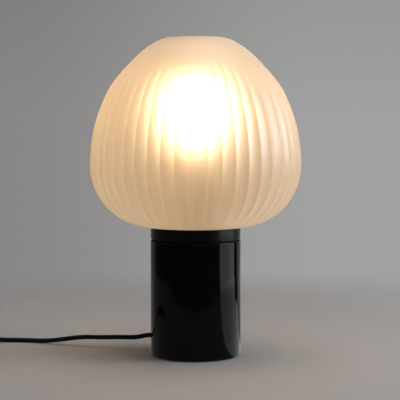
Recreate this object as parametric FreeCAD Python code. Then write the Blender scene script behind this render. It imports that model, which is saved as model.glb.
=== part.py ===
# Mushroom table lamp: a fluted frosted glass shade on a polished stone cylinder.
# Millimetres. +Z is up and Z = 0 is the table top. The lamp's axis is X = Y = 0.
# The front is towards -Y. The cord leaves low on the left, a little to the rear.
import FreeCAD, Part
import os
from math import asin, atan, cos, degrees, pi, radians, sin, sqrt, tan

V = FreeCAD.Vector
UP = V(0, 0, 1)
os.makedirs("parts", exist_ok=True)

# Stone base
base_dia = 114.0
stone_height = 144.5
stone_top_chamfer = 0.6
stone_foot_chamfer = 0.9
pad_dia = 106.0
pad_thick = 1.5
cover_dia = 88.0
cover_thick = 1.5
cover_clear = 0.3
recess_dia = 72.0
tube_hole_clear = 0.3

# Metal collar above the shadow gap
gap_height = 2.3
gap_inset = 1.5
collar_height = 14.5
collar_inset = 0.4
collar_wall = 3.0
collar_edge = 0.4
spigot_wall = 2.0
spigot_height = 6.0
spigot_clear = 0.6
gasket_thick = 0.6
gasket_width = 6.0

# Glass shade
shade_dia = 265.8
shade_seat_dia = 112.0
shade_opening_dia = 94.0
shade_belly_rise = 77.4
shade_crown_rise = 159.8
shade_mouth_dia = 77.2
mouth_bore_dia = 71.0
shoulder_ease = 0.029
shoulder_start_angle = 34.0
shoulder_end_angle = 69.0
glass_wall = 3.5
flutes_per_half = 24
seam_angle = 2.5
seam_azimuth = -92.1
flute_depth_ratio = 0.085
flute_start_angle = 12.0
flute_full_angle = 34.0
flute_fade_angle = 44.0
flute_end_angle = 53.0

# Threaded tube, sleeve and lampholder
tube_dia = 10.0
tube_bore_dia = 7.6
tube_grip_length = 9.0
nut_flats = 17.0
nut_height = 5.0
tube_past_nut = 2.0
sleeve_length = 36.0
sleeve_dia = 16.0
sleeve_bore_clear = 0.25
washer_dia = 26.0
washer_thick = 1.5
holder_dia = 40.0
holder_wall = 1.8
holder_foot_dia = 20.0
holder_cap_height = 22.0
holder_cap_flank = 12.0
holder_skirt_height = 42.0
holder_lip = 1.2
holder_lap = 8.0
insert_thick = 8.0
thread_shell_wall = 0.5
thread_clear = 0.45
shell_height = 23.0
strip_thick = 0.8
strip_width = 6.0
terminal_screw_dia = 2.8
terminal_head_dia = 4.4
terminal_pitch = 24.0

# Bulb
bulb_dia = 60.0
bulb_length = 105.0
bulb_cap_dia = 26.4
bulb_cap_height = 21.5
bulb_cap_start = 5.0
bulb_neck_dia = 29.0
bulb_thread_pitch = 3.6
bulb_thread_depth = 0.7
bulb_contact_dia = 8.0
bulb_contact_height = 1.6
bulb_glass_wall = 1.0
bulb_contact_gap = 0.2
stem_dia = 12.0
stem_height = 24.0
filament_dia = 1.8
filament_length = 36.0
filament_count = 4
filament_ring_dia = 15.0

# Cord, its exit, and what holds it inside the base
cord_dia = 6.0
cord_azimuth = 159.4
cord_exit_height = 21.0
grommet_wall = 1.0
grommet_flange_dia = 10.0
grommet_flange_thick = 1.8
grommet_flange_proud = 1.0
grommet_length = 18.0
anchor_dia = 60.0
anchor_thick = 3.0
grip_width = 8.0
grip_thick = 1.5
grip_span = 22.0
grip_reach = 24.0
grip_screw_dia = 3.0
grip_screw_head_dia = 5.5
grip_screw_head_height = 1.8
grip_screw_pitch = 16.0
cord_inner_end = 18.0
wire_dia = 2.0
wire_gap = 0.5
cover_screw_dia = 3.0
cover_screw_head_dia = 5.6
cover_screw_length = 9.0
cover_screws = 3
cover_screw_circle = 80.0

# Cord on the table: from the base to the in-line switch
cord_run_points = [
    (-62.73, 23.58, 21.0),
    (-76.53, 28.77, 16.45),
    (-101.2, 37.6, 15.65),
    (-127.1, 48.3, 13.2),
    (-149.3, 57.7, 12.6),
    (-183.0, 70.4, 6.1),
    (-203.0, 80.2, 3.0),
    (-229.0, 87.4, 3.0),
    (-262.0, 88.2, 3.0),
    (-280.0, 85.5, 6.5),
]
switch_inlet = V(-292.0, 85.5, 6.5)

# Cord from the switch to the coil
cord_link_points = [
    (-368.0, 85.5, 6.5),
    (-384.7, 75.8, 5.4),
    (-393.7, 59.1, 4.3),
    (-394.35, 39.0, 3.8),
]

# Put-away coil
coil_centre = V(-349.85, 18.0, 0)
coil_start_radius = 44.5
coil_turns_per_layer = 3
coil_pitch = 6.5
coil_layer_rise = 6.5
coil_lift = 0.8
tie_width = 9.0
tie_thick = 0.6
tie_side_clear = 0.6
tie_top_clear = 0.25

# Cord from the coil to the plug
cord_tail_points = [
    (-394.35, 2.0, 10.3),
    (-394.35, -29.65, 8.4),
    (-384.7, -46.35, 7.4),
    (-368.0, -56.0, 6.85),
]
plug_start = V(-354.0, -56.0, 6.85)

# In-line rocker switch
switch_length = 52.0
switch_width = 24.0
switch_height = 16.0
switch_corner = 7.0
switch_wall = 2.0
switch_top_wall = 2.2
switch_top_edge = 1.2
switch_collar_length = 5.0
switch_collar_dia = 10.0
switch_screw_dia = 2.2
switch_screw_head_dia = 4.4
switch_screw_head_height = 1.6
switch_screw_pitch = 38.0
switch_boss_dia = 6.0
rocker_radius = 10.3
rocker_width = 12.0
rocker_clear = 0.4
rocker_pivot_height = 12.0
rocker_depth = 3.0
rocker_rise = 3.6
rocker_dip = 1.6
rocker_tilt = 9.0
trunnion_dia = 2.4
trunnion_length = 1.8
trunnion_clear = 0.08
lug_wall = 1.5
contact_strip_length = 10.0
contact_strip_height = 4.6

# Flat two-pin plug
plug_width = 35.3
plug_thick = 13.7
plug_length = 36.0
plug_neck_width = 13.0
plug_neck_thick = 11.5
plug_shoulder = 12.0
plug_shoulder_width = 25.0
plug_corner = 3.6
boot_length = 25.0
boot_tip_dia = 8.0
boot_root_dia = 10.6
boot_grooves = 4
boot_groove_depth = 0.7
pin_dia = 4.0
pin_core_dia = 3.0
pin_length = 19.0
pin_sleeve_length = 10.0
pin_pitch = 18.6
pin_root = 8.0

# Places worked out from the sizes above
base_r = base_dia / 2
cord_r = cord_dia / 2
stone_z0 = pad_thick
stone_z1 = stone_z0 + stone_height
gap_z1 = stone_z1 + gap_height
collar_r = base_r - collar_inset
collar_z1 = gap_z1 + collar_height
seat_z = collar_z1 + gasket_thick
anchor_z0 = cord_exit_height + cord_r
ceiling_z = anchor_z0 + anchor_thick
cover_z1 = stone_z0 + cover_thick
tube_r = tube_dia / 2
nut_z0 = anchor_z0 - nut_height
tube_z0 = nut_z0 - tube_past_nut
washer_z1 = collar_z1 + washer_thick
holder_z0 = washer_z1 + sleeve_length
tube_z1 = holder_z0 + tube_grip_length
holder_r = holder_dia / 2
holder_inner_r = holder_r - holder_wall
insert_z0 = holder_z0 + holder_cap_height
insert_z1 = insert_z0 + insert_thick
skirt_z0 = insert_z0 - holder_lap
skirt_z1 = skirt_z0 + holder_skirt_height
bulb_z0 = insert_z1 + strip_thick + bulb_contact_gap
bulb_z1 = bulb_z0 + bulb_length
bulb_glass_z0 = bulb_z0 + bulb_cap_start + bulb_cap_height
exit_reach = base_r + grommet_flange_proud
spigot_r = shade_opening_dia / 2 - spigot_clear


def keep(name, shape):
    """Write one piece, after checking that it is whole."""
    solids = shape.Solids
    assert solids and shape.isValid(), name
    Part.Compound(solids).exportStep("parts/" + name + ".step")
    volume = sum(s.Volume for s in solids)
    print("%-18s %2d solid  %10.1f mm3" % (name, len(solids), volume))


def disc(r, z0, z1):
    return Part.makeCylinder(r, z1 - z0, V(0, 0, z0))


def ring(outer, inner, z0, z1):
    return disc(outer, z0, z1).cut(disc(inner, z0 - 1, z1 + 1))


def turned(outline):
    """Turn a closed outline of edges or (r, z) corners about the lamp's axis."""
    edges, last = [], None
    for item in outline + [outline[0]]:
        if not isinstance(item, tuple):
            edges.append(item)
            last = item.lastVertex(True).Point
            continue
        point = V(item[0], 0, item[1])
        if last is not None and (point - last).Length > 1e-6:
            edges.append(Part.makeLine(last, point))
        last = point
    return Part.Face(Part.Wire(edges)).revolve(V(), UP, 360)


def rounded_box(length, width, z0, z1, corner):
    """Box about the axis with upright edges rounded."""
    box = Part.makeBox(length, width, z1 - z0, V(-length / 2, -width / 2, z0))
    upright = [e for e in box.Edges if abs(e.tangentAt(e.FirstParameter).z) > 0.9]
    return box.makeFillet(corner, upright)


def tube_along(path_edges, dia):
    """Round tube on a path whose first edge is straight or a plain arc."""
    wire = Part.Wire(path_edges)
    first = path_edges[0]
    start = first.valueAt(first.FirstParameter)
    section = Part.Wire(Part.makeCircle(dia / 2, start, first.tangentAt(first.FirstParameter)))
    tube = wire.makePipeShell([section], True, False)
    expected = pi * dia * dia / 4 * wire.Length
    assert abs(tube.Volume / expected - 1) < 0.01, "tube volume"
    return tube


def rounded_path(points, what):
    """Straight runs joined by tangent arcs, as wide as the runs allow."""
    points = [V(*p) for p in points]
    edges, radii, last = [], [], points[0]
    for before, corner, after in zip(points, points[1:], points[2:]):
        into, out = corner - before, after - corner
        turn = into.getAngle(out)
        short = min(into.Length, out.Length)
        radii.append(0.45 * short / tan(turn / 2))
        into.normalize()
        out.normalize()
        start, end = corner - into * 0.45 * short, corner + out * 0.45 * short
        bow = (out - into).normalize()
        rise = radii[-1] * (1 / cos(turn / 2) - 1)
        edges.append(Part.makeLine(last, start))
        edges.append(Part.Arc(start, corner + bow * rise, end).toShape())
        last = end
    edges.append(Part.makeLine(last, points[-1]))
    length = sum(e.Length for e in edges)
    print("%s: length %.1f, radii %s" % (what, length, " ".join("%.0f" % r for r in radii)))
    return edges, length


def outward(shape):
    """Turn a piece made along +X so that it lies along the cord's exit."""
    turned_shape = shape.copy()
    turned_shape.rotate(V(), UP, cord_azimuth)
    return turned_shape


def rod_x(r, x0, x1, y=0.0, z=0.0):
    return Part.makeCylinder(r, x1 - x0, V(x0, y, z), V(1, 0, 0))


# Stone base, its pad and the cover of the recess
def stone_body():
    r, c0, c1 = base_r, stone_foot_chamfer, stone_top_chamfer
    body = turned([(0, stone_z0), (r - c0, stone_z0), (r, stone_z0 + c0),
                   (r, stone_z1 - c1), (r - c1, stone_z1), (0, stone_z1)])
    body = body.cut(disc(recess_dia / 2, stone_z0 - 1, ceiling_z))
    body = body.cut(disc(cover_dia / 2, stone_z0 - 1, cover_z1))
    body = body.cut(disc(tube_r + tube_hole_clear, ceiling_z - 1, stone_z1 + 1))
    hole_r = cord_r + grommet_wall
    face = exit_reach - grommet_flange_thick
    hole = rod_x(hole_r, recess_dia / 2 - 2, base_r + 1, 0, cord_exit_height)
    spot = rod_x(grommet_flange_dia / 2 + 0.1, face, base_r + 1, 0, cord_exit_height)
    body = body.cut(outward(hole.fuse(spot)))
    for x, y in cover_screw_places():
        depth = cover_z1 + cover_screw_length - cover_thick
        body = body.cut(Part.makeCylinder(cover_screw_dia / 2, depth - stone_z0, V(x, y, stone_z0)))
    return body


def cover_screw_places():
    step = 360.0 / cover_screws
    angles = [radians(cord_azimuth + step * (k + 0.5)) for k in range(cover_screws)]
    return [(cover_screw_circle / 2 * cos(a), cover_screw_circle / 2 * sin(a)) for a in angles]


def recess_cover():
    cover = disc(cover_dia / 2 - cover_clear, stone_z0, cover_z1)
    for x, y in cover_screw_places():
        wide, thin = cover_screw_head_dia / 2, cover_screw_dia / 2
        cover = cover.cut(Part.makeCone(wide, thin, cover_thick, V(x, y, stone_z0)))
    return cover


def cover_screw(x, y):
    wide, thin = cover_screw_head_dia / 2, cover_screw_dia / 2
    head = Part.makeCone(wide, thin, cover_thick, V(x, y, stone_z0))
    return head.fuse(Part.makeCylinder(thin, cover_screw_length - cover_thick, V(x, y, cover_z1)))


keep("stone_body", stone_body())
keep("base_pad", disc(pad_dia / 2, 0, pad_thick))
keep("recess_cover", recess_cover())
keep("cover_screws", Part.Compound([cover_screw(x, y) for x, y in cover_screw_places()]))


# Metal collar: a thin spacer makes the shadow gap, and a turned cup stands on it
def collar_cup():
    r, e, w = collar_r, collar_edge, collar_wall
    cup = turned([(0, gap_z1), (r - e, gap_z1), (r, gap_z1 + e), (r, collar_z1 - e),
                  (r - e, collar_z1), (0, collar_z1)])
    cup = cup.cut(disc(r - w, gap_z1 - 1, collar_z1 - w))
    spigot = ring(spigot_r, spigot_r - spigot_wall, collar_z1, collar_z1 + spigot_height)
    cup = cup.fuse(spigot).removeSplitter()
    return cup.cut(disc(tube_r + tube_hole_clear, gap_z1, collar_z1 + 1))


keep("gap_spacer", ring(base_r - gap_inset, tube_r + tube_hole_clear, stone_z1, gap_z1))
keep("collar_cup", collar_cup())
gasket_inner = shade_opening_dia / 2
keep("shade_gasket", ring(gasket_inner + gasket_width, gasket_inner, collar_z1, seat_z))


# Glass shade: a quarter ellipse under the belly and a longer one with an eased shoulder over it
shade_r = shade_dia / 2
seat_r = shade_seat_dia / 2
mouth_r = shade_mouth_dia / 2
belly_z = seat_z + shade_belly_rise
shade_z1 = belly_z + shade_crown_rise
crown_end = degrees(asin(sqrt(1 - (mouth_r / shade_r) ** 2)))
crown_half = shade_crown_rise / sin(radians(crown_end))


def shade_profile(angle):
    """Radius and height. -90 is the seat, 0 the belly, then the crown with its easier shoulder."""
    a = radians(angle)
    if angle < 0:
        return seat_r + (shade_r - seat_r) * cos(a), belly_z + shade_belly_rise * sin(a)
    along = (angle - shoulder_start_angle) / (shoulder_end_angle - shoulder_start_angle)
    ease = shoulder_ease * sin(pi * max(0.0, min(1.0, along))) ** 2
    return shade_r * cos(a) * (1 - ease), belly_z + crown_half * sin(a)


def shade_point(angle):
    """Radius, height and outward normal of the outer face."""
    r, z = shade_profile(angle)
    r0, z0 = shade_profile(angle - 0.1)
    r1, z1 = shade_profile(angle + 0.1)
    size = sqrt((r1 - r0) ** 2 + (z1 - z0) ** 2)
    return r, z, (z1 - z0) / size, (r0 - r1) / size


def flute_share(angle):
    """How deep the flutes are at a height: none at the seat and at the top band."""
    rising = (angle + 90 - flute_start_angle) / (flute_full_angle - flute_start_angle)
    falling = (flute_end_angle - angle) / (flute_end_angle - flute_fade_angle)
    share = max(0.0, min(1.0, rising, falling))
    return share * share * (3 - 2 * share)


def ridge_angles():
    """Azimuth of each ridge. Two narrow mould seams part the halves."""
    pitch = (180 - seam_angle) / flutes_per_half
    angles = []
    for half in range(2):
        first = seam_azimuth + seam_angle / 2 + 180 * half
        angles += [first + pitch * k for k in range(flutes_per_half + 1)]
    return angles


def shade_ring(angle):
    """One closed section of the outer face: hollow flutes between sharp ridges."""
    r, z, nr, nz = shade_point(angle)
    ridges = ridge_angles()
    edges = []
    for k, start in enumerate(ridges):
        end = ridges[k + 1] if k + 1 < len(ridges) else ridges[0] + 360
        width = r * radians(end - start)
        seam = end - start < seam_angle + 1e-6
        deep = 0.0 if seam else flute_depth_ratio * width * flute_share(angle)
        a, b, m = radians(start), radians(end), radians((start + end) / 2)
        p0, p1 = V(r * cos(a), r * sin(a), z), V(r * cos(b), r * sin(b), z)
        rm, zm = r - deep * nr, z - deep * nz
        middle = V(rm * cos(m), rm * sin(m), zm)
        curve = Part.BezierCurve()
        curve.setPoles([p0, middle * 2 - (p0 + p1) / 2, p1])
        edges.append(curve.toBSpline().toShape())
    return Part.Wire(edges)


def glass_shade():
    lower = [-90, -82, -74, -65, -56, -42, -28, -14]
    upper = [0, 15, 30, (30 + flute_fade_angle) / 2, flute_fade_angle,
             (flute_fade_angle + flute_end_angle) / 2, flute_end_angle,
             (flute_end_angle + crown_end) / 2, crown_end]
    outer = Part.makeLoft([shade_ring(a) for a in lower + upper], True, False)
    w = glass_wall
    open_r = shade_opening_dia / 2
    points = []
    for angle in lower + upper + [(crown_end + 90) / 2]:
        r, z, nr, nz = shade_point(angle)
        points.append(V(r - w * nr, 0, z - w * nz))
    points[0] = V(seat_r, 0, seat_z + w)
    face = Part.BSplineCurve()
    face.interpolate(points)
    inner = turned([(0, seat_z - 1), (open_r, seat_z - 1), (open_r, seat_z + w), (seat_r, seat_z + w),
                    face.toShape(), (0, points[-1].z)])
    return outer.cut(inner).cut(disc(mouth_bore_dia / 2, belly_z, shade_z1 + 1))


keep("glass_shade", glass_shade())


# Threaded tube, its nut and anchor plate in the recess, and the sleeve above the collar
def hex_nut(flats, z0, z1, bore_r):
    corner = flats / 2 / cos(pi / 6)
    points = [V(corner * cos(k * pi / 3), corner * sin(k * pi / 3), z0) for k in range(7)]
    return Part.Face(Part.makePolygon(points)).extrude(V(0, 0, z1 - z0)).cut(disc(bore_r, z0 - 1, z1 + 1))


def anchor_plate():
    plate = ring(anchor_dia / 2, tube_r + tube_hole_clear, anchor_z0, ceiling_z)
    for side in (-1, 1):
        at = V(grip_reach, side * grip_screw_pitch / 2, anchor_z0 - 1)
        plate = plate.cut(outward(Part.makeCylinder(grip_screw_dia / 2, anchor_thick + 2, at)))
    return plate


keep("threaded_tube", ring(tube_r, tube_bore_dia / 2, tube_z0, tube_z1))
keep("tube_nut", hex_nut(nut_flats, nut_z0, anchor_z0, tube_r))
keep("anchor_plate", anchor_plate())
keep("sleeve_washer", ring(washer_dia / 2, tube_r + sleeve_bore_clear, collar_z1, washer_z1))
keep("holder_sleeve", ring(sleeve_dia / 2, tube_r + sleeve_bore_clear, washer_z1, holder_z0))


# Lampholder: domed cap, skirt, ceramic insert, thread shell, contacts and terminals
lap_r = holder_inner_r - 0.2
cap_inner_r = lap_r - holder_wall
strip_top_r = bulb_contact_dia / 2 + 1
shell_inner_r = bulb_cap_dia / 2 + thread_clear
shell_outer_r = shell_inner_r + bulb_thread_depth + thread_shell_wall


def holder_cap():
    foot, w = holder_foot_dia / 2, holder_wall
    flank_z = holder_z0 + holder_cap_flank
    outer = turned([(0, holder_z0), (foot, holder_z0), (holder_r - w, flank_z - w), (holder_r, flank_z),
                    (holder_r, skirt_z0), (lap_r, skirt_z0), (lap_r, insert_z0), (0, insert_z0)])
    floor_z = holder_z0 + tube_grip_length - 1
    inner = turned([(0, floor_z), (foot - w, floor_z), (cap_inner_r, flank_z + w),
                    (cap_inner_r, insert_z0 + 1), (0, insert_z0 + 1)])
    return outer.cut(inner).cut(disc(tube_r, holder_z0 - 1, insert_z0))


def holder_skirt():
    r, inner = holder_r, holder_inner_r
    lip_r = max(shell_outer_r + 0.3, inner - holder_lip)
    edge = holder_wall / 2
    return turned([(inner, skirt_z0), (r, skirt_z0), (r, skirt_z1 - edge), (r - edge, skirt_z1),
                   (lip_r, skirt_z1), (lip_r, skirt_z1 - holder_wall), (inner, skirt_z1 - holder_wall)])


def holder_insert():
    insert = disc(holder_inner_r - 0.3, insert_z0, insert_z1)
    for side in (-1, 1):
        at = V(0, side * terminal_pitch / 2, insert_z0 - 1)
        insert = insert.cut(outward(Part.makeCylinder(terminal_screw_dia / 2, insert_thick - 1, at)))
    return insert


def wavy_thread(r, z0, z1, depth):
    """Rounded crests and roots of a lamp thread, as (r, z) arcs from z0 up to z1."""
    count = max(1, int((z1 - z0) / bulb_thread_pitch))
    step = (z1 - z0) / count
    edges = []
    for k in range(count):
        low, mid, high = z0 + k * step, z0 + (k + 0.5) * step, z0 + (k + 1) * step
        root, quarter = r - depth, step / 4
        edges.append(Part.Arc(V(root, 0, low), V(root + depth / 2, 0, low + quarter / 2 + quarter / 4),
                              V(r, 0, mid)).toShape())
        edges.append(Part.Arc(V(r, 0, mid), V(root + depth / 2, 0, high - quarter / 2 - quarter / 4),
                              V(root, 0, high)).toShape())
    return edges


def thread_shell():
    z0, z1 = insert_z1, insert_z1 + shell_height
    return ring(shell_outer_r, shell_outer_r - thread_shell_wall, z0, z1)


def centre_contact():
    strip = Part.makeBox(2 * strip_top_r, strip_width, strip_thick, V(-strip_top_r, -strip_width / 2, insert_z1))
    return outward(strip)


def side_contact():
    """Brass foot under the shell's rim, on the ceramic insert."""
    r = shell_outer_r - thread_shell_wall
    foot = Part.makeBox(4.0, strip_width, strip_thick, V(r - 4.0, -strip_width / 2, insert_z1))
    return outward(foot.common(disc(r, insert_z1, insert_z1 + strip_thick)))


def terminal_screws():
    screws = []
    for side in (-1, 1):
        y = side * terminal_pitch / 2
        head = Part.makeCylinder(terminal_head_dia / 2, 1.6, V(0, y, insert_z0 - 1.6))
        shank = Part.makeCylinder(terminal_screw_dia / 2, insert_thick - 2, V(0, y, insert_z0))
        screws.append(outward(head.fuse(shank)))
    return Part.Compound(screws)


keep("holder_cap", holder_cap())
keep("holder_skirt", holder_skirt())
keep("holder_insert", holder_insert())
keep("thread_shell", thread_shell())
keep("centre_contact", centre_contact())
keep("side_contact", side_contact())
keep("terminal_screws", terminal_screws())

# Bulb: opal glass on a nickel screw cap, with its filaments on a glass stem
neck_r = bulb_neck_dia / 2
globe_r = bulb_dia / 2
globe_z = bulb_z1 - globe_r


def bulb_outline(shrink):
    """Edges from the neck up to the crown, moved in by shrink."""
    start_z = bulb_glass_z0 + 2.0
    turn = 2 * atan((globe_r - neck_r) / (globe_z - start_z))
    bend = (globe_z - start_z) / sin(turn) - globe_r
    r0, big, neck_bend = neck_r - shrink, globe_r - shrink, bend + shrink
    centre = V(neck_r + bend, 0, start_z)
    neck = [centre - V(neck_bend * cos(a), 0, -neck_bend * sin(a)) for a in (0, turn / 2, turn)]
    globe = [V(big * cos(a), 0, globe_z + big * sin(a)) for a in (-turn, (pi / 2 - turn) / 2, pi / 2)]
    return r0, start_z, [Part.Arc(*neck).toShape(), Part.Arc(*globe).toShape()]


def bulb_glass():
    r0, start_z, edges = bulb_outline(0)
    outer = turned([(0, bulb_glass_z0), (r0, bulb_glass_z0), (r0, start_z)] + edges)
    r1, start_z, edges = bulb_outline(bulb_glass_wall)
    inner = turned([(0, bulb_glass_z0 - 1), (r1, bulb_glass_z0 - 1), (r1, start_z)] + edges)
    return outer.cut(inner)


def bulb_cap():
    z0, z1 = bulb_z0 + bulb_cap_start, bulb_glass_z0
    r = bulb_cap_dia / 2
    root = r - bulb_thread_depth
    thread_z1 = z1 - 3.5
    threads = wavy_thread(r, z0 + 1.0, thread_z1, bulb_thread_depth)
    w = thread_shell_wall
    outline = [(root - 2 * w, z0), (root, z0), (root, z0 + 1.0)] + threads
    outline += [(root, thread_z1), (neck_r, z1), (neck_r - 2 * w, z1), (root - 2 * w, thread_z1)]
    return turned(outline)


def bulb_insulator():
    z0 = bulb_z0 + bulb_contact_height
    top = bulb_cap_dia / 2 - bulb_thread_depth - 2 * thread_shell_wall
    return turned([(0, z0), (bulb_contact_dia / 2 + 0.5, z0), (top, bulb_z0 + bulb_cap_start),
                   (top, bulb_z0 + bulb_cap_start + 1.5), (0, bulb_z0 + bulb_cap_start + 1.5)])


def filaments():
    z0 = bulb_glass_z0 + stem_height - 4
    rods = []
    for k in range(filament_count):
        a = 2 * pi * k / filament_count
        at = V(filament_ring_dia / 2 * cos(a), filament_ring_dia / 2 * sin(a), z0)
        rods.append(Part.makeCylinder(filament_dia / 2, filament_length, at))
    return Part.Compound(rods)


def bulb_stem():
    """Glass mount with a cross that carries the filaments at their feet."""
    flare_r = neck_r - bulb_glass_wall
    top = bulb_glass_z0 + stem_height
    stem = turned([(0, bulb_glass_z0), (flare_r, bulb_glass_z0), (flare_r, bulb_glass_z0 + 1.0),
                   (stem_dia / 2, bulb_glass_z0 + 7.0), (stem_dia / 4, top - 4), (0, top - 4)])
    reach = filament_ring_dia / 2 + filament_dia / 2
    for k in range(2):
        bar = Part.makeBox(2 * reach, 1.2, 1.2, V(-reach, -0.6, top - 5.2))
        bar.rotate(V(), UP, 90 * k)
        stem = stem.fuse(bar)
    return stem.removeSplitter()


def bulb_driver():
    """Small round circuit board that feeds the filaments, inside the cap."""
    z0 = bulb_z0 + bulb_cap_start + 1.5
    r = bulb_cap_dia / 2 - bulb_thread_depth - 2 * thread_shell_wall - 0.2
    part = Part.makeCylinder(4.0, 7.0, V(0, 0, z0 + 1.6))
    return disc(r, z0, z0 + 1.6).fuse(part)


keep("bulb_glass", bulb_glass())
keep("bulb_cap", bulb_cap())
keep("bulb_insulator", bulb_insulator())
keep("bulb_contact", disc(bulb_contact_dia / 2, bulb_z0, bulb_z0 + bulb_contact_height))
keep("bulb_driver", bulb_driver())
keep("bulb_stem", bulb_stem())
keep("bulb_filaments", filaments())

# Cord inside the base: grommet, grip under the anchor plate, and the two cores
grip_z1 = anchor_z0
grip_outer_r = cord_r + grip_thick


def cord_grommet():
    face = exit_reach - grommet_flange_thick
    sleeve = rod_x(cord_r + grommet_wall, face - grommet_length + grommet_flange_thick, face, 0, cord_exit_height)
    flange = rod_x(grommet_flange_dia / 2, face, exit_reach, 0, cord_exit_height)
    bore = rod_x(cord_r, 0, exit_reach + 1, 0, cord_exit_height)
    return outward(sleeve.fuse(flange).cut(bore))


def cord_grip():
    x0 = grip_reach - grip_width / 2
    ears = Part.makeBox(grip_width, grip_span, grip_thick, V(x0, -grip_span / 2, grip_z1 - grip_thick))
    legs = Part.makeBox(grip_width, 2 * grip_outer_r, cord_r, V(x0, -grip_outer_r, cord_exit_height))
    hoop = rod_x(grip_outer_r, x0, x0 + grip_width, 0, cord_exit_height)
    bore = rod_x(cord_r, x0 - 1, x0 + grip_width + 1, 0, cord_exit_height)
    slot = Part.makeBox(grip_width + 2, cord_dia, cord_r + 1, V(x0 - 1, -cord_r, cord_exit_height))
    above = Part.makeBox(grip_width + 2, grip_span, grip_outer_r, V(x0 - 1, -grip_span / 2, grip_z1))
    grip = ears.fuse([legs, hoop]).cut(bore).cut(slot).cut(above)
    for side in (-1, 1):
        at = V(grip_reach, side * grip_screw_pitch / 2, grip_z1 - grip_thick - 1)
        grip = grip.cut(Part.makeCylinder(grip_screw_dia / 2, grip_thick + 2, at))
    return outward(grip.removeSplitter())


def grip_screws():
    screws = []
    for side in (-1, 1):
        y = side * grip_screw_pitch / 2
        z = grip_z1 - grip_thick
        head = Part.makeCylinder(grip_screw_head_dia / 2, grip_screw_head_height,
                                 V(grip_reach, y, z - grip_screw_head_height))
        shank = Part.makeCylinder(grip_screw_dia / 2, grip_thick + anchor_thick, V(grip_reach, y, z))
        screws.append(outward(head.fuse(shank)))
    return Part.Compound(screws)


def core_wire(side):
    """One core: from the cord's end, under the nut, up the tube, to its terminal."""
    y = side * (wire_dia + wire_gap) / 2
    out_y = side * terminal_pitch / 3
    z = cord_exit_height
    low = (cover_z1 + tube_z0) / 2
    points = [(cord_inner_end, y, z), (cord_inner_end - 4.0, y, z),
              (nut_flats / 2 + 2.0, y, low + 3.0), (0, y, low - 1.5),
              (0, y, tube_z1 + 1.5), (0, out_y, insert_z0 - 5.0), (0, out_y, insert_z0)]
    edges, length = rounded_path(points, "core wire")
    return outward(tube_along(edges, wire_dia))


keep("cord_grommet", cord_grommet())
keep("cord_grip", cord_grip())
keep("grip_screws", grip_screws())
keep("cord_inner", outward(rod_x(cord_r, cord_inner_end, exit_reach, 0, cord_exit_height)))
keep("wire_live", core_wire(1))
keep("wire_neutral", core_wire(-1))

# In-line switch, made about its own middle and laid on the cord's line
switch_split = switch_inlet.z
switch_total = switch_length + 2 * switch_collar_length
switch_middle = V(switch_inlet.x - switch_total / 2, switch_inlet.y, 0)
pivot = V(0, 0, rocker_pivot_height)


def at_switch(shape):
    moved = shape.copy()
    moved.translate(switch_middle)
    return moved


def switch_shell():
    """Whole outer form: a rounded box with a stub collar at each end."""
    body = rounded_box(switch_length, switch_width, 0, switch_height, switch_corner)
    top = [e for e in body.Edges if all(abs(v.Z - switch_height) < 1e-6 for v in e.Vertexes)]
    body = body.makeFillet(switch_top_edge, top)
    stub = rod_x(switch_collar_dia / 2, -switch_total / 2, switch_total / 2, 0, switch_split)
    return body.fuse(stub)


def switch_cavity(z0, z1):
    w = switch_wall
    return rounded_box(switch_length - 2 * w, switch_width - 2 * w, z0, z1, switch_corner - w)


def half_space(z0, z1):
    size = switch_total + 2
    return Part.makeBox(size, size, z1 - z0, V(-size / 2, -size / 2, z0))


def switch_base():
    base = switch_shell().common(half_space(-1, switch_split))
    base = base.cut(switch_cavity(switch_wall, switch_split + 1))
    for side in (-1, 1):
        x = side * switch_screw_pitch / 2
        base = base.fuse(Part.makeCylinder(switch_boss_dia / 2, switch_split - 1, V(x, 0, 1)))
        base = base.cut(Part.makeCylinder(switch_screw_dia / 2, switch_split + 2, V(x, 0, -1)))
        base = base.cut(Part.makeCylinder(switch_screw_head_dia / 2, switch_screw_head_height + 1.4, V(x, 0, -1)))
    return base


def switch_cover():
    cover = switch_shell().common(half_space(switch_split, switch_height + 1))
    ceiling = switch_height - switch_top_wall
    cover = cover.cut(switch_cavity(switch_split - 1, ceiling))
    inner = rocker_width / 2 + rocker_clear
    for side in (-1, 1):
        x = side * switch_screw_pitch / 2
        cover = cover.fuse(Part.makeCylinder(switch_boss_dia / 2, ceiling + 0.5 - switch_split, V(x, 0, switch_split)))
        cover = cover.cut(Part.makeCylinder(switch_screw_dia / 2, ceiling - 1 - switch_split, V(x, 0, switch_split)))
        drop = trunnion_dia / 2 + trunnion_clear + lug_wall
        y = inner if side > 0 else -inner - trunnion_length
        lug = Part.makeBox(2 * drop, trunnion_length, ceiling + 0.5 - rocker_pivot_height + drop,
                           V(-drop, y, rocker_pivot_height - drop))
        cover = cover.fuse(lug)
    window = 2 * (rocker_radius + rocker_clear)
    cover = cover.cut(Part.makeBox(window, 2 * inner, switch_height, V(-window / 2, -inner, switch_split)))
    hole_r = trunnion_dia / 2 + trunnion_clear
    pin = Part.makeCylinder(hole_r, 2 * (inner + trunnion_length) + 1,
                            V(0, -inner - trunnion_length - 0.5, rocker_pivot_height), V(0, 1, 0))
    return cover.cut(pin)


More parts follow.
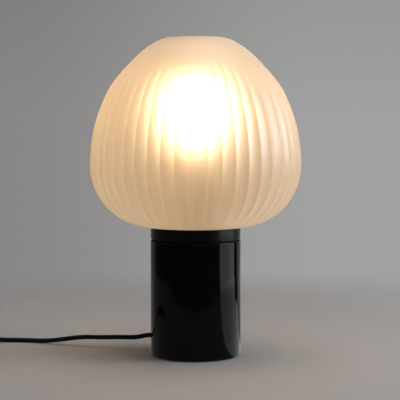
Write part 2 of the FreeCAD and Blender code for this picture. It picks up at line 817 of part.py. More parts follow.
def switch_rocker():
    """Rocker with round ends about its pivot and a shallow V on top."""
    r, half = rocker_radius, rocker_width / 2
    top, low = rocker_rise, -rocker_depth
    xt, xl = sqrt(r * r - top * top), sqrt(r * r - low * low)
    corner, foot = V(xt, -half, top), V(xl, -half, low)
    side = Part.Arc(foot, V(r, -half, 0), corner).toShape()
    other = Part.Arc(V(-xt, -half, top), V(-r, -half, 0), V(-xl, -half, low)).toShape()
    edges = [side, Part.makeLine(corner, V(0, -half, top - rocker_dip)),
             Part.makeLine(V(0, -half, top - rocker_dip), V(-xt, -half, top)), other,
             Part.makeLine(V(-xl, -half, low), foot)]
    body = Part.Face(Part.Wire(edges)).extrude(V(0, rocker_width, 0))
    reach = half + trunnion_length
    body = body.fuse(Part.makeCylinder(trunnion_dia / 2, 2 * reach, V(0, -reach, 0), V(0, 1, 0)))
    body.rotate(V(), V(0, 1, 0), rocker_tilt)
    body.translate(pivot)
    return body


def switch_screws():
    screws = []
    for side in (-1, 1):
        x = side * switch_screw_pitch / 2
        head = Part.makeCylinder(switch_screw_head_dia / 2, switch_screw_head_height, V(x, 0, 0.4))
        top = switch_height - switch_top_wall - 2
        shank = Part.makeCylinder(switch_screw_dia / 2, top - 1, V(x, 0, 1))
        screws.append(head.fuse(shank))
    return Part.Compound(screws)


def switch_contacts():
    strips = []
    for side in (-1, 1):
        x0 = 2.0 if side > 0 else -2.0 - contact_strip_length
        flat = Part.makeBox(contact_strip_length, 4, 0.8, V(x0, -2, switch_wall))
        post_x = x0 if side > 0 else x0 + contact_strip_length - 0.8
        strips.append(flat.fuse(Part.makeBox(0.8, 4, contact_strip_height, V(post_x, -2, switch_wall))))
    return Part.Compound(strips)


keep("switch_base", at_switch(switch_base()))
keep("switch_cover", at_switch(switch_cover()))
keep("switch_rocker", at_switch(switch_rocker()))
keep("switch_screws", at_switch(switch_screws()))
keep("switch_contacts", at_switch(switch_contacts()))

# Plug with its tapered boot, made along +X from the cord's end
body_x0 = boot_length
body_x1 = body_x0 + plug_length


def at_plug(shape):
    moved = shape.copy()
    moved.translate(plug_start)
    return moved


def plug_section(x, width, thick, corner):
    """Rounded rectangle across the plug's length."""
    y, z, c = width / 2, thick / 2, corner
    d = c * (1 - sqrt(0.5))
    corners = [(1, 1), (-1, 1), (-1, -1), (1, -1)]
    edges, last = [], None
    for k, (sy, sz) in enumerate(corners):
        first, then = V(x, sy * y, sz * (z - c)), V(x, sy * (y - c), sz * z)
        if k % 2:
            first, then = then, first
        middle = V(x, sy * (y - d), sz * (z - d))
        if last is not None:
            edges.append(Part.makeLine(last, first))
        edges.append(Part.Arc(first, middle, then).toShape())
        last = then
    edges.append(Part.makeLine(last, V(x, y, z - c)))
    return Part.Wire(edges)


def plug_body():
    sections = [plug_section(body_x0, plug_neck_width, plug_neck_thick, plug_corner),
                plug_section(body_x0 + plug_shoulder, plug_shoulder_width, plug_thick, plug_corner),
                plug_section(body_x1, plug_width, plug_thick, plug_corner)]
    body = Part.makeLoft(sections, True, True)
    for side in (-1, 1):
        body = body.cut(rod_x(pin_core_dia / 2, body_x1 - pin_root, body_x1 + 1, side * pin_pitch / 2))
    return body


def plug_boot():
    """Tapered strain relief with shallow grooves."""
    tip, root = boot_tip_dia / 2, boot_root_dia / 2
    boot = Part.makeCone(tip, root, boot_length, V(), V(1, 0, 0))
    step = boot_length / (boot_grooves + 1)
    for k in range(boot_grooves):
        x = step * (k + 1)
        r = tip + (root - tip) * x / boot_length
        groove = rod_x(r + 1, x - step / 5, x + step / 5).cut(rod_x(r - boot_groove_depth, x - step, x + step))
        boot = boot.cut(groove)
    return boot


def plug_pins():
    pins = []
    for side in (-1, 1):
        y = side * pin_pitch / 2
        tip = rod_x(pin_dia / 2, body_x1 + pin_sleeve_length, body_x1 + pin_length, y)
        end = [e for e in tip.Edges if e.Closed and abs(e.CenterOfMass.x - body_x1 - pin_length) < 1e-6]
        tip = tip.makeFillet(pin_dia / 2 - 0.8, end)
        pins.append(tip.fuse(rod_x(pin_core_dia / 2, body_x1 - pin_root, body_x1 + pin_sleeve_length, y)))
    return Part.Compound(pins)


def pin_sleeves():
    sleeves = []
    for side in (-1, 1):
        y = side * pin_pitch / 2
        sleeve = rod_x(pin_dia / 2, body_x1, body_x1 + pin_sleeve_length, y)
        sleeves.append(sleeve.cut(rod_x(pin_core_dia / 2, body_x1 - 1, body_x1 + pin_sleeve_length + 1, y)))
    return Part.Compound(sleeves)


keep("plug_body", at_plug(plug_body()))
keep("plug_boot", at_plug(plug_boot()))
keep("plug_pins", at_plug(plug_pins()))
keep("pin_sleeves", at_plug(pin_sleeves()))

# The free cord, from the grommet's face to the plug's boot
a = radians(cord_azimuth)
cord_exit = V(exit_reach * cos(a), exit_reach * sin(a), cord_exit_height)
switch_outlet = switch_inlet - V(switch_total, 0, 0)
coil_low = coil_lift + cord_r
coil_high = coil_low + coil_layer_rise
coil_start = coil_centre + V(-coil_start_radius, 0, coil_low)
coil_end = coil_centre + V(-coil_start_radius, 0, coil_high)


def coil_point(turn):
    """Centre and heading at a turn: in on the low layer, out again on the high one."""
    inward = coil_turns_per_layer
    gone = min(turn, 2 * inward - turn)
    slope = -coil_pitch if turn < inward else coil_pitch
    r = coil_start_radius - coil_pitch * gone
    angle = pi + 2 * pi * turn
    climb = max(0.0, min(1.0, (turn - inward) / 0.5 + 0.5))
    z = coil_low + coil_layer_rise * climb * climb * (3 - 2 * climb)
    rise = coil_layer_rise * 6 * climb * (1 - climb) / 0.5
    if abs(turn - inward) < 1e-9:
        slope = 0.0
    at_end = turn < 1e-9 or turn > 2 * inward - 1e-9
    slope = 0.0 if at_end else slope
    around = V(-sin(angle), cos(angle), 0) * 2 * pi * r
    heading = around + V(cos(angle), sin(angle), 0) * slope + UP * rise
    return coil_centre + V(r * cos(angle), r * sin(angle), z), heading.normalize()


def biarc(p0, t0, p1, t1):
    """Two arcs that meet smoothly, from p0 heading t0 to p1 heading t1."""
    span, both = p1 - p0, t0 + t1
    flat = 2 * (1 - t0.dot(t1))
    along = span.dot(both)
    reach = (-along + sqrt(along * along + flat * span.dot(span))) / flat
    joint = (p0 + t0 * reach + p1 - t1 * reach) / 2
    arcs = []
    for start, head, end in ((p0, t0, joint), (p1, t1 * -1, joint)):
        chord = end - start
        bow = chord.cross(head).cross(chord)
        bow.normalize()
        half = head.getAngle(chord)
        middle = (start + end) / 2 + bow * (chord.Length / 2 * tan(half / 2))
        arcs.append((start, middle, end))
    (a0, a1, a2), (b0, b1, b2) = arcs
    return [Part.Arc(a0, a1, a2).toShape(), Part.Arc(b2, b1, b0).toShape()]


def least_gap(edges, dia):
    """Smallest gap between stretches of the tube that aren't neighbours."""
    points, gone, total = [], [], 0.0
    for e in edges:
        count = max(2, int(e.Length / 2.0))
        for p in e.discretize(count)[:-1]:
            points.append(p)
            gone.append(total + (p - e.valueAt(e.FirstParameter)).Length)
        total += e.Length
    best = 1e9
    for i in range(len(points)):
        for j in range(i + 1, len(points)):
            if gone[j] - gone[i] > 8 * dia:
                best = min(best, (points[i] - points[j]).Length)
    return best - dia


def cord_coil():
    steps = 8 * coil_turns_per_layer
    turns = [2.0 * coil_turns_per_layer * k / steps for k in range(steps + 1)]
    edges = []
    for one, other in zip(turns, turns[1:]):
        (p0, t0), (p1, t1) = coil_point(one), coil_point(other)
        edges += biarc(p0, t0, p1, t1)
    length = sum(e.Length for e in edges)
    print("coil: length %.1f, least gap to itself %.2f" % (length, least_gap(edges, cord_dia)))
    return tube_along(edges, cord_dia), length


def coil_tie():
    """Flat strap round the turns, on the side away from where they begin."""
    inner_r = coil_start_radius - coil_pitch * (coil_turns_per_layer - 0.5) - cord_r - tie_side_clear
    outer_r = coil_start_radius - coil_pitch / 2 + cord_r + tie_side_clear
    z0, z1 = tie_thick, coil_high + cord_r + tie_top_clear
    hole = Part.makeBox(outer_r - inner_r, tie_width + 2, z1 - z0, V(inner_r, -tie_width / 2 - 1, z0))
    t = tie_thick
    band = Part.makeBox(outer_r - inner_r + 2 * t, tie_width, z1 - z0 + 2 * t, V(inner_r - t, -tie_width / 2, 0))
    lengthwise = [e for e in band.Edges if abs(e.tangentAt(e.FirstParameter).y) > 0.9]
    band = band.makeFillet(cord_r, lengthwise)
    lengthwise = [e for e in hole.Edges if abs(e.tangentAt(e.FirstParameter).y) > 0.9]
    band = band.cut(hole.makeFillet(cord_r - t, lengthwise))
    band.translate(coil_centre)
    return band


run_edges, run_length = rounded_path([cord_exit] + cord_run_points + [switch_inlet], "cord run")
link_edges, link_length = rounded_path([switch_outlet] + cord_link_points + [coil_start], "cord link")
tail_edges, tail_length = rounded_path([coil_end] + cord_tail_points + [plug_start], "cord tail")
keep("cord_run", tube_along(run_edges, cord_dia))
keep("cord_link", tube_along(link_edges, cord_dia))
keep("cord_tail", tube_along(tail_edges, cord_dia))
coil, coil_length = cord_coil()
keep("cord_coil", coil)
keep("coil_tie", coil_tie())
whole_length = run_length + switch_total + link_length + coil_length + tail_length
print("cord from the base to the plug: %.0f mm" % whole_length)
print("shade: seat %.1f, belly %.1f, top %.1f" % (seat_z, belly_z, shade_z1))
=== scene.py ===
import math

import bmesh
import bpy
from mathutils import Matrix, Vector


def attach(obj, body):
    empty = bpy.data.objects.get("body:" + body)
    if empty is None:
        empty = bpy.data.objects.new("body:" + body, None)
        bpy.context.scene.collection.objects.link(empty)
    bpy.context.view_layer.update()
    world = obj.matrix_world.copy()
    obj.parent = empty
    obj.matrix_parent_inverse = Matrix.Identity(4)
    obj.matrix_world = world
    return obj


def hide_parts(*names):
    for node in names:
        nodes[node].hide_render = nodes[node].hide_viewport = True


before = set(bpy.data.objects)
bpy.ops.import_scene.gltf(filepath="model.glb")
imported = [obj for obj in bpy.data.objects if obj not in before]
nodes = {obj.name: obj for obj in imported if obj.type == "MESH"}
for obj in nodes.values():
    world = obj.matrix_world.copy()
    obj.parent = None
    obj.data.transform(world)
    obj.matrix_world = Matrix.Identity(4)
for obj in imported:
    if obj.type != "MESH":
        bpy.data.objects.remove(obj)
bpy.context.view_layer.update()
print("frame loaded:", len(nodes), "nodes")


# Camera: the photograph's own angle and framing
cameraSetup = {"place": (0.0055, -1.6396, 0.3035), "pitchDown": 3.725, "lens": 117.0}


def makeCamera():
    data = bpy.data.cameras.new("camera")
    data.lens, data.sensor_width = cameraSetup["lens"], 36.0
    data.clip_start, data.clip_end = 0.05, 50.0
    camera = bpy.data.objects.new("camera", data)
    camera.location = cameraSetup["place"]
    camera.rotation_euler = (math.radians(90 - cameraSetup["pitchDown"]), 0, 0)
    bpy.context.scene.collection.objects.link(camera)
    bpy.context.scene.camera = camera


makeCamera()


# Small helpers shared by every material
def newMaterial(name):
    material = bpy.data.materials.new(name)
    material.use_nodes = True
    tree = material.node_tree
    return material, tree, tree.nodes["Principled BSDF"]


def addNode(tree, kind, inputs=None, **settings):
    node = tree.nodes.new(kind)
    for key, value in settings.items():
        setattr(node, key, value)
    for key, value in (inputs or {}).items():
        if hasattr(value, "is_output"):
            tree.links.new(value, node.inputs[key])
        else:
            node.inputs[key].default_value = value
    return node


def sum2(tree, operation, a, b):
    return addNode(tree, "ShaderNodeMath", {0: a, 1: b}, operation=operation).outputs[0]


def mixColour(tree, factor, one, other):
    node = addNode(tree, "ShaderNodeMix", data_type="RGBA")
    for socket, value in ((0, factor), (6, one), (7, other)):
        if hasattr(value, "is_output"):
            tree.links.new(value, node.inputs[socket])
        else:
            node.inputs[socket].default_value = value if socket == 0 else (*value, 1.0)
    return node.outputs[2]


def rampTo(tree, value, low, high, toLow=0.0, toHigh=1.0, smooth=False):
    node = addNode(tree, "ShaderNodeMapRange", {0: value, 1: low, 2: high, 3: toLow, 4: toHigh})
    node.interpolation_type = "SMOOTHSTEP" if smooth else "LINEAR"
    return node.outputs[0]


def grainy(name, colour, roughness, metallic=0.0, scale=300.0, spread=0.15, roughSpread=0.08,
           bump=0.00002, stretch=(1, 1, 1), **sockets):
    # colour, roughness and height all carry the same fine grain
    material, tree, shader = newMaterial(name)
    place = addNode(tree, "ShaderNodeTexCoord").outputs["Object"]
    place = addNode(tree, "ShaderNodeMapping", {"Vector": place, "Scale": stretch}).outputs[0]
    fine = addNode(tree, "ShaderNodeTexNoise", {"Vector": place, "Scale": scale, "Detail": 4.0}).outputs[0]
    coarse = {"Vector": place, "Scale": scale / 14, "Detail": 2.0}
    broad = addNode(tree, "ShaderNodeTexNoise", coarse).outputs[0]
    both = sum2(tree, "ADD", sum2(tree, "MULTIPLY", fine, 0.6), sum2(tree, "MULTIPLY", broad, 0.4))
    darker = [c * (1 - spread) for c in colour]
    lighter = [min(1.0, c * (1 + spread)) for c in colour]
    factor = rampTo(tree, both, 0.3, 0.7)
    tree.links.new(mixColour(tree, factor, darker, lighter), shader.inputs["Base Color"])
    smoothest, roughest = max(0.02, roughness - roughSpread), min(1.0, roughness + roughSpread)
    rough = rampTo(tree, both, 0.3, 0.7, smoothest, roughest)
    tree.links.new(rough, shader.inputs["Roughness"])
    height = addNode(tree, "ShaderNodeBump", {"Height": fine, "Distance": bump, "Strength": 1.0})
    tree.links.new(height.outputs[0], shader.inputs["Normal"])
    shader.inputs["Metallic"].default_value = metallic
    for socket, value in sockets.items():
        shader.inputs[socket.replace("_", " ")].default_value = value
    return material


# Small helpers for turned pieces
def turnedMesh(profile, steps, closed=True):
    # spin (radius, height, rounding) corners about the lamp's axis
    bm = bmesh.new()
    corners = [bm.verts.new((p[0], 0, p[1])) for p in profile]
    pairs = list(zip(corners, corners[1:]))
    if closed:
        pairs.append((corners[-1], corners[0]))
    for one, other in pairs:
        if one.co.x > 1e-6 or other.co.x > 1e-6:
            bm.edges.new((one, other))
    for corner, p in zip(corners, profile):
        if len(p) > 2 and p[2] > 0:
            bmesh.ops.bevel(bm, geom=[corner], offset=p[2], offset_type="OFFSET", segments=4,
                            profile=0.5, affect="VERTICES", material=-1)
    bmesh.ops.spin(bm, geom=bm.verts[:] + bm.edges[:], cent=(0, 0, 0), axis=(0, 0, 1),
                   angle=math.tau, steps=steps, use_merge=True)
    return bm


def addPiece(name, bm, materials, body, replaced, sharp=35.0):
    bmesh.ops.remove_doubles(bm, verts=bm.verts, dist=1e-6)
    bmesh.ops.recalc_face_normals(bm, faces=bm.faces)
    mesh = bpy.data.meshes.new(name)
    bm.to_mesh(mesh)
    bm.free()
    mesh.polygons.foreach_set("use_smooth", [True] * len(mesh.polygons))
    if sharp:
        mesh.set_sharp_from_angle(angle=math.radians(sharp))
    for material in materials:
        mesh.materials.append(material)
    piece = bpy.data.objects.new(name, mesh)
    bpy.context.scene.collection.objects.link(piece)
    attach(piece, body)
    if replaced:
        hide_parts(*replaced)
    return piece


# Free cord: one smooth route from the grommet to the plug
cord = {
    "diameter": 0.006,
    "length": 1.818,
    "exit": (-0.054292, 0.020407, 0.021),
    "spacing": 0.0018,  # along the tube
    "sides": 4,  # bevel steps in a quarter of the tube
    "colour": (0.0095, 0.0080, 0.0072),
    # painted shade: darker colour for the dips between the strands
    "strandGapShade": (0.0032, 0.0027, 0.0025),
    "strandPitch": 0.0034,
    "strandsRound": 8,
}
cordRun = [
    (-0.06273, 0.02358, 0.0210), (-0.07653, 0.02877, 0.01645), (-0.1012, 0.0376, 0.01565),
    (-0.1271, 0.0483, 0.0132), (-0.1493, 0.0577, 0.0126), (-0.1830, 0.0704, 0.0061),
    (-0.2030, 0.0802, 0.0030), (-0.2290, 0.0874, 0.0030), (-0.2620, 0.0882, 0.0030),
    (-0.2800, 0.0855, 0.0065), (-0.2920, 0.0855, 0.0065), (-0.3230, 0.0855, 0.0065),
    (-0.3540, 0.0855, 0.0065), (-0.3680, 0.0855, 0.0065), (-0.3847, 0.0758, 0.0054),
    (-0.3937, 0.0591, 0.0043), (-0.39435, 0.0390, 0.0038),
]
cordTail = [
    (-0.39435, 0.0020, 0.0103), (-0.39435, -0.02965, 0.0084), (-0.3847, -0.04635, 0.0074),
    (-0.3680, -0.0560, 0.00685), (-0.3540, -0.0560, 0.00685),
]
coil = {"centre": (-0.34985, 0.018), "radius": 0.0445, "pitch": 0.0065, "turns": 3,
        "low": 0.0038, "layerRise": 0.0065, "pointsPerTurn": 24}


def coilPoints():
    turns, each = coil["turns"], coil["pointsPerTurn"]
    points = []
    for k in range(2 * turns * each + 1):
        turn = k / each
        r = (coil["radius"] - coil["pitch"] * min(turn, 2 * turns - turn)) / math.cos(math.pi / each)
        angle = math.pi + math.tau * turn
        climb = max(0.0, min(1.0, (turn - turns) / 0.5 + 0.5))
        z = coil["low"] + coil["layerRise"] * climb * climb * (3 - 2 * climb)
        points.append((coil["centre"][0] + r * math.cos(angle), coil["centre"][1] + r * math.sin(angle), z))
    return points


def lineOf(curve):  # points along a curve with no bevel, read from the curve itself
    holder = bpy.data.objects.new(curve.name, curve)
    bpy.context.scene.collection.objects.link(holder)
    bpy.context.view_layer.update()
    mesh = bpy.data.meshes.new_from_object(holder.evaluated_get(bpy.context.evaluated_depsgraph_get()))
    points = [v.co.copy() for v in mesh.vertices]
    bpy.data.objects.remove(holder)
    bpy.data.meshes.remove(mesh)
    return points


def evenly(points, spacing):  # the same line again with its points an even distance apart
    lengths = [0.0]
    for one, other in zip(points, points[1:]):
        lengths.append(lengths[-1] + (other - one).length)
    count = round(lengths[-1] / spacing)
    even, k = [], 0
    for j in range(count + 1):
        at = lengths[-1] * j / count
        while k < len(points) - 2 and lengths[k + 1] < at:
            k += 1
        share = (at - lengths[k]) / (lengths[k + 1] - lengths[k])
        even.append(points[k].lerp(points[k + 1], min(1.0, share)))
    return even, lengths[-1]


def braidedCloth(length):  # black braided yarn: two sets of strands that pass over and under each other
    material, tree, shader = newMaterial("braidedCloth")
    uv = addNode(tree, "ShaderNodeUVMap").outputs[0]
    split = addNode(tree, "ShaderNodeSeparateXYZ", {0: uv})
    along = sum2(tree, "MULTIPLY", split.outputs[0], length / cord["strandPitch"])
    around = sum2(tree, "MULTIPLY", split.outputs[1], cord["strandsRound"] / 2)
    one, other = sum2(tree, "ADD", along, around), sum2(tree, "SUBTRACT", along, around)
    over = sum2(tree, "ADD", sum2(tree, "FLOOR", one, 0.0), sum2(tree, "FLOOR", other, 0.0))
    over = sum2(tree, "PINGPONG", over, 1.0)
    arches = []
    for value in (one, other):
        angle = sum2(tree, "MULTIPLY", sum2(tree, "FRACT", value, 0.0), math.pi)
        arches.append(sum2(tree, "SINE", angle, 0.0))
    first = sum2(tree, "MULTIPLY", arches[0], over)
    second = sum2(tree, "MULTIPLY", arches[1], sum2(tree, "SUBTRACT", 1.0, over))
    arch = sum2(tree, "ADD", first, second)
    place = addNode(tree, "ShaderNodeTexCoord").outputs["Object"]
    thin = {"Vector": place, "Scale": 2600.0, "Detail": 2.0}
    fibre = addNode(tree, "ShaderNodeTexNoise", thin).outputs[0]
    height = sum2(tree, "ADD", arch, sum2(tree, "MULTIPLY", fibre, 0.35))
    # painted shade: the weave is darker where each strand dips under the next, the low parts of the arch
    colour = mixColour(tree, arch, cord["strandGapShade"], cord["colour"])
    tree.links.new(colour, shader.inputs["Base Color"])
    bump = addNode(tree, "ShaderNodeBump", {"Height": height, "Distance": 0.00022, "Strength": 0.8})
    tree.links.new(bump.outputs[0], shader.inputs["Normal"])
    tree.links.new(rampTo(tree, fibre, 0.3, 0.7, 0.72, 0.92), shader.inputs["Roughness"])
    shader.inputs["Sheen Weight"].default_value = 0.12
    shader.inputs["Sheen Roughness"].default_value = 0.5
    shader.inputs["Specular IOR Level"].default_value = 0.2
    return material


def makeCord():
    route = bpy.data.curves.new("cordRoute", "CURVE")
    route.dimensions = "3D"
    points = [cord["exit"]] + cordRun + coilPoints() + cordTail
    spline = route.splines.new("NURBS")
    spline.points.add(len(points) - 1)
    for point, place in zip(spline.points, points):
        point.co = (*place, 1.0)
    spline.order_u = 3
    spline.use_endpoint_u = True
    line, length = evenly(lineOf(route), cord["spacing"])
    tube = bpy.data.curves.new("cordTube", "CURVE")
    tube.dimensions, tube.bevel_depth = "3D", cord["diameter"] / 2
    tube.bevel_resolution, tube.use_fill_caps = cord["sides"], True
    strand = tube.splines.new("POLY")
    strand.points.add(len(line) - 1)
    for point, place in zip(strand.points, line):
        point.co = (*place, 1.0)
    holder = bpy.data.objects.new("cordTube", tube)
    bpy.context.scene.collection.objects.link(holder)
    bpy.context.view_layer.update()
    mesh = bpy.data.meshes.new_from_object(holder.evaluated_get(bpy.context.evaluated_depsgraph_get()))
    bpy.data.objects.remove(holder)
    mesh.name = "cordCloth"
    mesh.materials.clear()
    mesh.materials.append(braidedCloth(length))
    mesh.polygons.foreach_set("use_smooth", [True] * len(mesh.polygons))
    piece = bpy.data.objects.new("cordCloth", mesh)
    bpy.context.scene.collection.objects.link(piece)
    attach(piece, "lamp")
    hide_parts("cord_run", "cord_link", "cord_coil", "cord_tail")
    print("cord laid: %.3f m, %d points" % (length, len(line)))


makeCord()


# Glass shade: turned section with hollow flutes pressed into its outer face
shade = {
    "seatRadius": 0.056, "radius": 0.1329, "seatHeight": 0.1634, "bellyHeight": 0.2408, "rimHeight": 0.4006,
    "mouthRadius": 0.0386, "boreRadius": 0.0355, "openingRadius": 0.047, "wall": 0.0035,
    "shoulderEase": 0.029, "shoulderStart": 34.0, "shoulderEnd": 69.0,
    "flutesPerHalf": 24, "columnsPerFlute": 10, "seamAngle": 2.5, "seamColumns": 3, "seamAzimuth": -92.1,
    "fluteDepth": 0.085, "fluteStart": 12.0, "fluteFull": 34.0, "fluteFade": 44.0, "fluteEnd": 53.0,
    "outerRows": 84, "innerRows": 48,
}
crownEnd = math.degrees(math.acos(shade["mouthRadius"] / shade["radius"]))
crownHalf = (shade["rimHeight"] - shade["bellyHeight"]) / math.sin(math.radians(crownEnd))


def shadeProfile(angle):  # radius and height of the outer face, -90 at the seat and 0 at the belly
    a = math.radians(angle)
    if angle < 0:
        reach, rise = shade["radius"] - shade["seatRadius"], shade["bellyHeight"] - shade["seatHeight"]
        return shade["seatRadius"] + reach * math.cos(a), shade["bellyHeight"] + rise * math.sin(a)
    along = (angle - shade["shoulderStart"]) / (shade["shoulderEnd"] - shade["shoulderStart"])
    ease = shade["shoulderEase"] * math.sin(math.pi * max(0.0, min(1.0, along))) ** 2
    return shade["radius"] * math.cos(a) * (1 - ease), shade["bellyHeight"] + crownHalf * math.sin(a)


def shadePoint(angle):
    (r, z), before, after = shadeProfile(angle), shadeProfile(angle - 0.1), shadeProfile(angle + 0.1)
    return r, z, Vector((after[1] - before[1], 0, before[0] - after[0])).normalized()


def fluteShare(angle):
    rising = (angle + 90 - shade["fluteStart"]) / (shade["fluteFull"] - shade["fluteStart"])
    falling = (shade["fluteEnd"] - angle) / (shade["fluteEnd"] - shade["fluteFade"])
    share = max(0.0, min(1.0, rising, falling))
    return share * share * (3 - 2 * share)


def columnAngles():  # azimuth, place across its flute (0 to 1) and flute width of every column
    pitch = (180 - shade["seamAngle"]) / shade["flutesPerHalf"]
    columns = []
    for half in range(2):
        start = shade["seamAzimuth"] - shade["seamAngle"] / 2 + 180 * half
        for k in range(shade["seamColumns"]):
            columns.append((start + shade["seamAngle"] * k / shade["seamColumns"], 0.0, k == 0))
        start += shade["seamAngle"]
        for k in range(shade["flutesPerHalf"] * shade["columnsPerFlute"]):
            across = k % shade["columnsPerFlute"] / shade["columnsPerFlute"]
            columns.append((start + pitch * k / shade["columnsPerFlute"], across, across == 0))
    return columns, math.radians(pitch)


def shadeBmesh():
    bm = bmesh.new()
    deep = bm.verts.layers.float.new("flute")
    leanR, leanZ = bm.verts.layers.float.new("leanR"), bm.verts.layers.float.new("leanZ")
    outside, crest = bm.verts.layers.float.new("outside"), bm.verts.layers.float.new("crest")
    columns, pitch = columnAngles()
    profile = []
    for k in range(shade["outerRows"] + 1):
        angle = -90 + (crownEnd + 90) * k / shade["outerRows"]
        r, z, normal = shadePoint(angle)
        if k == shade["outerRows"]:
            z -= 0.0012
        vert = bm.verts.new((r, 0, z))
        vert[deep] = shade["fluteDepth"] * r * pitch * fluteShare(angle)
        vert[leanR], vert[leanZ], vert[outside] = normal.x, normal.z, 1.0
        profile.append(vert)
    middle = (shade["mouthRadius"] + shade["boreRadius"]) / 2
    lip = (shade["mouthRadius"] - shade["boreRadius"]) / 2
    for k in range(1, 10):  # rounded rim
        a = math.pi * k / 10
        vert = bm.verts.new((middle + lip * math.cos(a), 0, shade["rimHeight"] - lip + lip * math.sin(a)))
        vert[outside] = 1.0
        profile.append(vert)
    profile.append(bm.verts.new((shade["boreRadius"], 0, shade["rimHeight"] - lip)))
    for k in range(shade["innerRows"] + 1):  # smooth inner face, one wall in from the outer one
        r, z, normal = shadePoint(crownEnd - (crownEnd + 90) * k / shade["innerRows"])
        r, z = r - shade["wall"] * normal.x, z - shade["wall"] * normal.z
        profile.append(bm.verts.new((max(r, shade["boreRadius"]) if k == 0 else r, 0, z)))
    profile.append(bm.verts.new((shade["openingRadius"], 0, shade["seatHeight"] + shade["wall"])))
    profile.append(bm.verts.new((shade["openingRadius"], 0, shade["seatHeight"])))
    for one, other in zip(profile, profile[1:] + profile[:1]):
        bm.edges.new((one, other))
    bmesh.ops.spin(bm, geom=bm.verts[:] + bm.edges[:], cent=(0, 0, 0), axis=(0, 0, 1),
                   angle=math.tau, steps=len(columns), use_merge=True)
    bmesh.ops.remove_doubles(bm, verts=bm.verts, dist=1e-6)
    bmesh.ops.recalc_face_normals(bm, faces=bm.faces)
    ridge = {}
    for vert in bm.verts:
        x, y, z = vert.co
        r = math.hypot(x, y)
        column = round(math.atan2(y, x) / math.tau * len(columns)) % len(columns)
        azimuth, across, onRidge = columns[column]
        a = math.radians(azimuth)
        press = vert[deep] * 4 * across * (1 - across)
        r, z = r - press * vert[leanR], z - press * vert[leanZ]
        vert.co = (r * math.cos(a), r * math.sin(a), z)
        ridge[vert.index] = onRidge and vert[deep] > 0.0003
        vert[crest] = min(1.0, vert[deep] / 0.0010) if onRidge else 0.0
    for face in bm.faces:
        face.material_index = 0 if all(v[outside] > 0.5 for v in face.verts) else 1
    for edge in bm.edges:
        one, other = edge.verts
        upright = abs(math.atan2(one.co.y, one.co.x) - math.atan2(other.co.y, other.co.x)) < 1e-4
        if ridge[one.index] and ridge[other.index] and upright and abs(one.co.z - other.co.z) > 1e-5:
            edge.smooth = False
    return bm


glass = {
    "tint": (0.98, 0.955, 0.92),
    "spreadTint": (0.88, 0.77, 0.58),
    "faceTint": (0.70, 0.70, 0.71),
    "clearShare": 0.15,  # light that keeps its way through the etched face
    "clearRoughness": 0.60,
    "wideShare": 0.36,  # of the rest, light that is only turned a little further
    "wideRoughness": 0.95,
    "bend": 1.42,
    "faceShare": 0.36,  # light that the etched face throws back
    "crestFace": 0.08,  # less of it along the ridges, which glow a little more
    "crestClear": 0.10,
    "coatPower": 3.0,  # how steeply the gloss gathers towards the outline
    "coatFace": 0.05,
    "coatEdge": 0.60,
    "glossRoughness": 0.36,
    "innerMilk": 0.03,  # share of light that the smooth inner face spreads
}


def bentLight(tree, roughness, bump):  # light that passes the etched face and is turned by it
    sockets = {"Color": (*glass["tint"], 1.0), "Roughness": roughness, "IOR": glass["bend"], "Normal": bump}
    return addNode(tree, "ShaderNodeBsdfRefraction", sockets).outputs[0]


def frostedGlass():  # acid-etched face: most light is spread, some keeps its way and some is thrown back
    material, tree, shader = newMaterial("frostedGlass")
    tree.nodes.remove(shader)
    out = tree.nodes["Material Output"]
    place = addNode(tree, "ShaderNodeTexCoord").outputs["Object"]
    crest = addNode(tree, "ShaderNodeAttribute", attribute_name="crest").outputs["Fac"]
    etch = addNode(tree, "ShaderNodeTexNoise", {"Vector": place, "Scale": 900.0, "Detail": 3.0}).outputs[0]
    cloud = addNode(tree, "ShaderNodeTexNoise", {"Vector": place, "Scale": 22.0, "Detail": 2.0}).outputs[0]
    bump = addNode(tree, "ShaderNodeBump", {"Height": etch, "Distance": 0.00003, "Strength": 0.5}).outputs[0]
    spreadColour = mixColour(tree, rampTo(tree, cloud, 0.3, 0.7), [c * 0.985 for c in glass["spreadTint"]],
                             glass["spreadTint"])
    spread = addNode(tree, "ShaderNodeBsdfTranslucent", {"Color": spreadColour, "Normal": bump})
    face = addNode(tree, "ShaderNodeBsdfDiffuse", {"Color": (*glass["faceTint"], 1.0), "Normal": bump})
    clear = bentLight(tree, glass["clearRoughness"], bump)
    wide = bentLight(tree, glass["wideRoughness"], bump)
    gloss = addNode(tree, "ShaderNodeBsdfAnisotropic", {
        "Color": (1, 1, 1, 1), "Roughness": glass["glossRoughness"], "Normal": bump})
    thrown = rampTo(tree, crest, 0.0, 1.0, glass["faceShare"], glass["crestFace"])
    body = addNode(tree, "ShaderNodeMixShader", {0: thrown, 1: spread.outputs[0], 2: face.outputs[0]})
    body = addNode(tree, "ShaderNodeMixShader", {0: glass["wideShare"], 1: body.outputs[0], 2: wide})
    kept = rampTo(tree, crest, 0.0, 1.0, glass["clearShare"], glass["crestClear"])
    through = addNode(tree, "ShaderNodeMixShader", {0: kept, 1: body.outputs[0], 2: clear})
    facing = addNode(tree, "ShaderNodeLayerWeight", {"Blend": 0.5}).outputs["Facing"]
    gather = sum2(tree, "POWER", facing, glass["coatPower"])
    edge = rampTo(tree, gather, 0.0, 1.0, glass["coatFace"], glass["coatEdge"])
    # gloss on the outside only: on the inside it would shut the bulb's light in
    outer = sum2(tree, "SUBTRACT", 1.0, addNode(tree, "ShaderNodeNewGeometry").outputs["Backfacing"])
    edge = sum2(tree, "MULTIPLY", edge, outer)
    coated = addNode(tree, "ShaderNodeMixShader", {0: edge, 1: through.outputs[0], 2: gloss.outputs[0]})
    tree.links.new(coated.outputs[0], out.inputs["Surface"])
    return material


